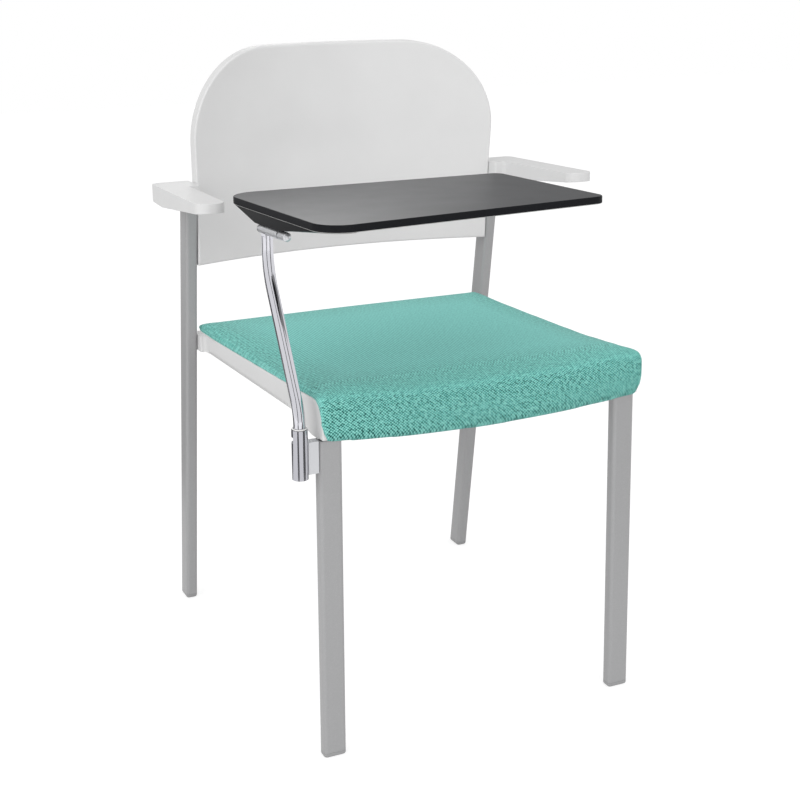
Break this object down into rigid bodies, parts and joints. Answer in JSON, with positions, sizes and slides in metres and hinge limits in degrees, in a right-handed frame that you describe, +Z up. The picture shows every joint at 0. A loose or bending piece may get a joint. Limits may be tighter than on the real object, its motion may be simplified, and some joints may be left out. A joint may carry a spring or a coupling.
{
  "type": "chair with writing tablet",
  "caption": "Visitor chair with padded seat, moulded back and armrests, and a writing board on a cranked arm that swivels in a sleeve on the front leg and tilts up about a hinge",
  "frame": {"origin": "middle of the chair's box on the floor, under the four glides", "axes": "+Z up; the chair faces -Y; the sitter's right, where the tablet's arm stands, is -X"},
  "size_m": [0.5556, 0.5896, 0.8069],
  "materials": {
    "grey_paint": "satin metallic grey powder coat",
    "grey_plastic": "moulded, fine matt",
    "zinc_steel": "bright zinc plated",
    "white_plastic": "moulded, satin",
    "teal_fabric": "coarse woven upholstery",
    "chrome": "polished chrome plate",
    "white_nylon": "turned nylon",
    "black_plastic": "moulded, satin black",
    "dark_board": "compact laminate, semi-gloss dark grey"
  },
  "bodies": {
    "chair": {"front_right_leg": "grey_paint", "front_left_leg": "grey_paint", "rear_right_leg": "grey_paint", "rear_left_leg": "grey_paint", "front_right_glide": "grey_plastic", "front_left_glide": "grey_plastic", "rear_right_glide": "grey_plastic", "rear_left_glide": "grey_plastic", "front_right_spigot": "zinc_steel", "front_left_spigot": "zinc_steel", "front_rail": "zinc_steel", "rear_rail": "zinc_steel", "right_side_rail": "zinc_steel", "left_side_rail": "zinc_steel", "seat_pan": "white_plastic", "seat_pad": "teal_fabric", "seat_screw_front_right": "zinc_steel", "seat_screw_front_left": "zinc_steel", "seat_screw_rear_right": "zinc_steel", "seat_screw_rear_left": "zinc_steel", "back_shell": "white_plastic", "back_bolt_low_right": "zinc_steel", "back_bolt_high_right": "zinc_steel", "back_bolt_low_left": "zinc_steel", "back_bolt_high_left": "zinc_steel", "right_armrest": "white_plastic", "left_armrest": "white_plastic", "sleeve_lug": "chrome", "swivel_sleeve": "chrome", "sleeve_bush_upper": "white_nylon", "sleeve_bush_lower": "white_nylon", "sleeve_plug": "black_plastic"},
    "tablet_arm": {"arm_bar": "chrome", "stop_pin": "zinc_steel", "hinge_head": "chrome", "hinge_bush_front": "white_nylon", "hinge_bush_rear": "white_nylon"},
    "tablet": {"hinge_leaf": "zinc_steel", "hinge_pin": "zinc_steel", "hinge_nut": "chrome", "hinge_cap": "chrome", "tablet_bracket": "black_plastic", "tablet_board": "dark_board", "tablet_screw_front_outer": "zinc_steel", "tablet_screw_front_inner": "zinc_steel", "tablet_screw_rear_outer": "zinc_steel", "tablet_screw_rear_inner": "zinc_steel"}
  },
  "joints": [
    {"name": "arm_swivel", "type": "hinge", "parent": "chair", "child": "tablet_arm", "pos_m": [-0.2357, -0.21631, 0.4234], "axis": [0, 0, 1], "range_deg": [0, 90]},
    {"name": "tablet_tilt", "type": "hinge", "parent": "tablet_arm", "child": "tablet", "pos_m": [-0.2357, -0.12831, 0.63453], "axis": [0.0628, -0.9975, 0.0326], "range_deg": [0, 90]}
  ]
}
